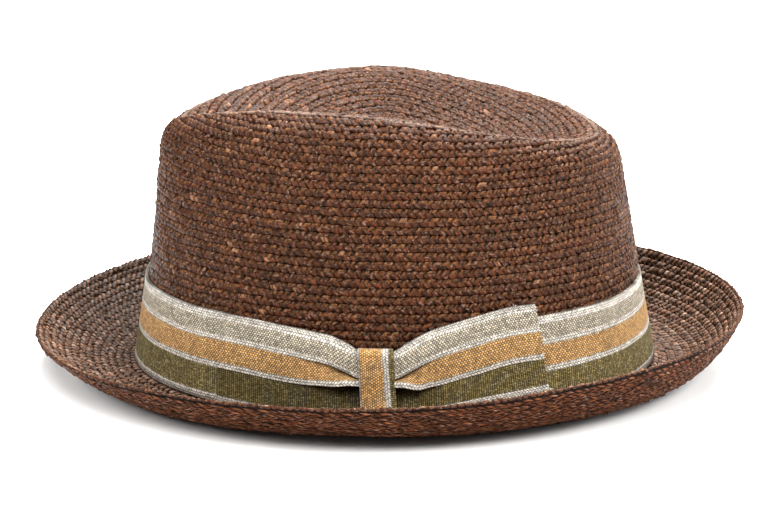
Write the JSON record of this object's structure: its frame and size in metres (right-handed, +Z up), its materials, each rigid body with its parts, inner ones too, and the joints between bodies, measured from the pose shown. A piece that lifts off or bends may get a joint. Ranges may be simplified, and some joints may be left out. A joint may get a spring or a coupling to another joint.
{
  "type": "straw hat",
  "caption": "Braided straw hat with a teardrop crown, a short upturned brim, a striped ribbon band and a flat bow at the side.",
  "frame": {"origin": "middle of the hat's box, on the surface that the brim rests on", "axes": "+Z up out of the crown, -Y towards the front of the hat, +X towards the wearer's left, where the bow is"},
  "size_m": [0.2474, 0.2792, 0.1074],
  "materials": {
    "straw_braid": "plaited and sewn straw braid, dark brown, soft sheen",
    "ribbon_cloth": "woven striped ribbon in white, sage, ochre and olive, matt"
  },
  "bodies": {
    "root": {"crown": "straw_braid", "brim": "straw_braid", "hat_band": "ribbon_cloth", "bow_loop_front": "ribbon_cloth", "bow_tail_back": "ribbon_cloth", "bow_knot": "ribbon_cloth"}
  },
  "joints": []
}
